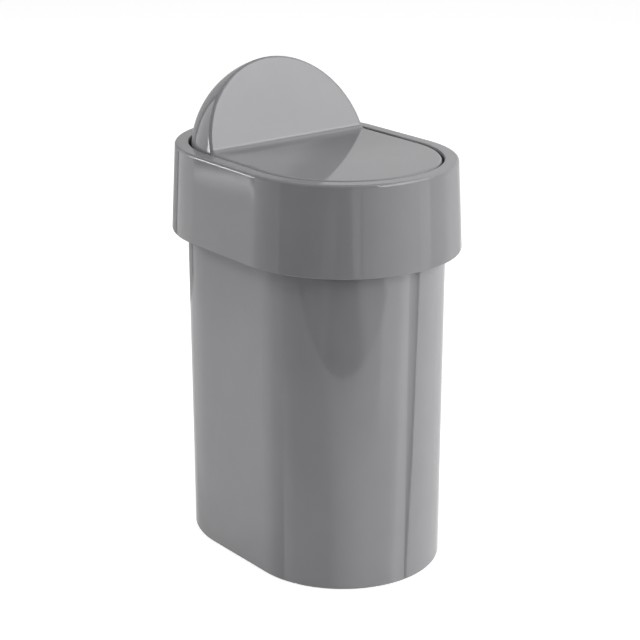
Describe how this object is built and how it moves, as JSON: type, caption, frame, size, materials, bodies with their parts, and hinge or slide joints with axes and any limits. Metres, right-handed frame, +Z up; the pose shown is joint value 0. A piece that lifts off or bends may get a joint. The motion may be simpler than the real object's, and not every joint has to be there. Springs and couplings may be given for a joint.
{
  "type": "swing-lid bathroom bin",
  "caption": "Obround bathroom bin: slim tapered bucket, deep lift-off collar, and a counterweighted push flap with a flat plate in front and a half dome behind.",
  "frame": {"origin": "centre of the base, on the floor", "axes": "+Z up, Y along the long axis with the push plate in front (-Y) and the dome behind (+Y), X along the flap's pivot axis"},
  "size_m": [0.168, 0.2344, 0.3575],
  "materials": {
    "grey_plastic": "high gloss moulding",
    "dark_plastic": "as moulded",
    "bush_plastic": "natural acetal",
    "pad_rubber": "soft",
    "steel": "zinc plated"
  },
  "bodies": {
    "bin": {"bin_body": "grey_plastic"},
    "lid": {"lid_collar": "grey_plastic", "pivot_bush_left": "bush_plastic", "pivot_bush_right": "bush_plastic", "stop_pad_left": "pad_rubber", "stop_pad_right": "pad_rubber"},
    "flap": {"flap_panel": "grey_plastic", "flap_dome": "grey_plastic", "weight_tray": "dark_plastic", "counterweight": "steel", "tray_screws": "steel", "weight_screws": "steel", "pivot_pin_left": "steel", "pivot_pin_right": "steel"}
  },
  "joints": [
    {"name": "lid_lift", "type": "slide", "parent": "bin", "child": "lid", "axis": [0, 0, 1], "range_m": [0, 0.12]},
    {"name": "flap_swing", "type": "hinge", "parent": "lid", "child": "flap", "pos_m": [0, 0.0332, 0.2918], "axis": [1, 0, 0], "range_deg": [0, 60]}
  ]
}
